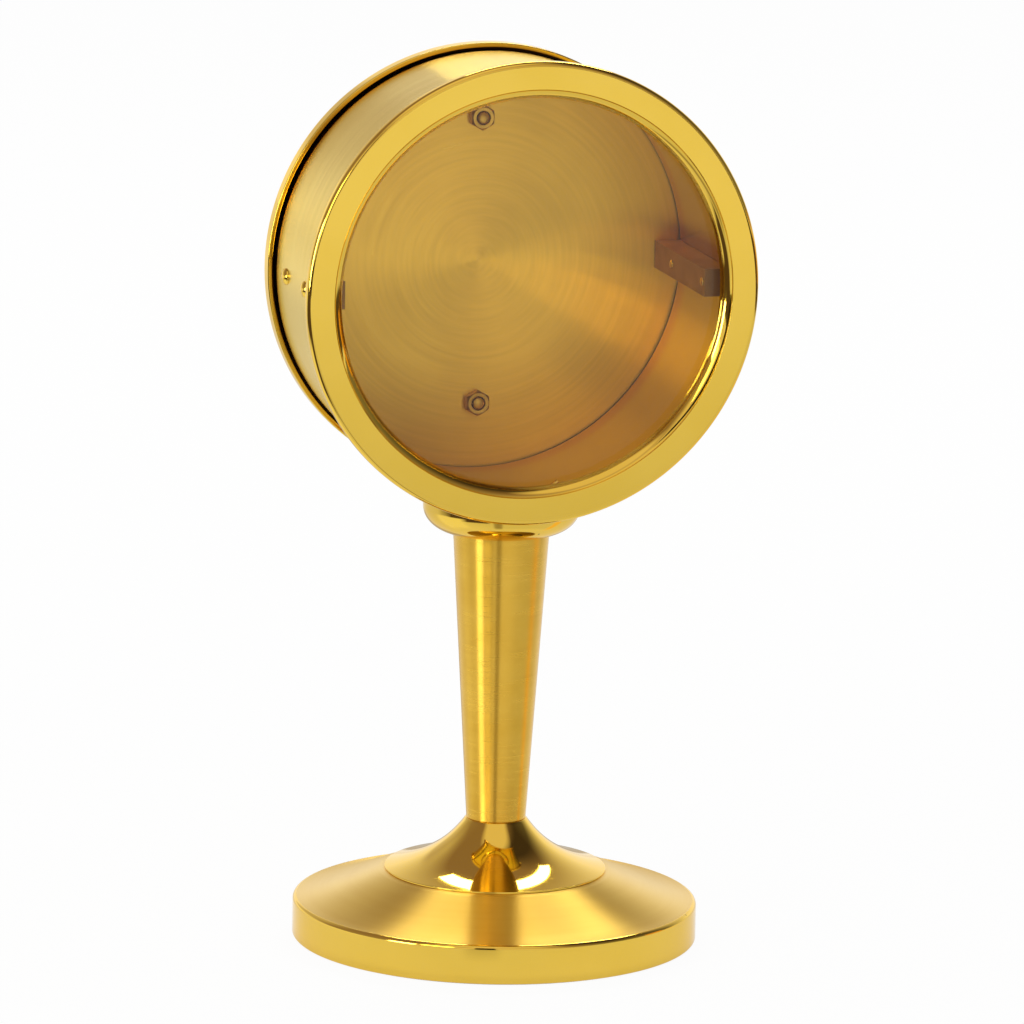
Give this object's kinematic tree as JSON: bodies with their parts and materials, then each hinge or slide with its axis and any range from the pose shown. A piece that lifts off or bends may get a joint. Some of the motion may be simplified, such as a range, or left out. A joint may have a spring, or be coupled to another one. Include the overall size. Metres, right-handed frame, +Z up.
{
  "type": "glazed reliquary on a stem",
  "caption": "Free-standing round display case with a glass front and a hinged back, on a tapered stem, a trumpet flare and a weighted round foot.",
  "frame": {"origin": "centre of the pad under the foot, on the table", "axes": "+Z up along the stem, -Y out of the glass front, +X to the right seen from the front, where the door's hinge is"},
  "size_m": [0.1118, 0.097, 0.2162],
  "materials": {
    "polished_brass": "polished and lacquered",
    "satin_brass": "brushed round the turned form",
    "cast_weight": "as cast",
    "pad_rubber": "matt",
    "steel": "plain",
    "clear_glass": "clear and flat"
  },
  "bodies": {
    "stand_and_case": {"base_shell": "satin_brass", "base_weight": "cast_weight", "base_pad": "pad_rubber", "stem_flare": "polished_brass", "stem": "satin_brass", "collar": "polished_brass", "tie_rod": "steel", "tie_nut": "steel", "tie_washer": "steel", "case_wall": "satin_brass", "front_bezel": "polished_brass", "front_glass": "clear_glass", "glass_clip": "satin_brass", "bar_right": "satin_brass", "bar_left": "satin_brass", "rivet_right_front": "polished_brass", "rivet_right_rear": "polished_brass", "rivet_left_front": "polished_brass", "rivet_left_rear": "polished_brass", "hinge_strap": "polished_brass", "hinge_pin": "steel"},
    "door": {"rear_door": "satin_brass", "hinge_leaf": "polished_brass", "relic_screw_upper": "polished_brass", "relic_screw_lower": "polished_brass", "relic_washer_upper": "polished_brass", "relic_washer_lower": "polished_brass", "relic_nut_upper": "polished_brass", "relic_nut_lower": "polished_brass"},
    "lock": {"door_screw": "polished_brass"}
  },
  "joints": [
    {"name": "door_hinge", "type": "hinge", "parent": "stand_and_case", "child": "door", "pos_m": [0.055, 0.0214, 0.1609], "axis": [0, 0, -1], "range_deg": [0, 135]},
    {"name": "door_screw_turn", "type": "hinge", "parent": "door", "child": "lock", "pos_m": [-0.04723, 0.0243, 0.1609], "axis": [0, 1, 0], "continuous": true}
  ]
}
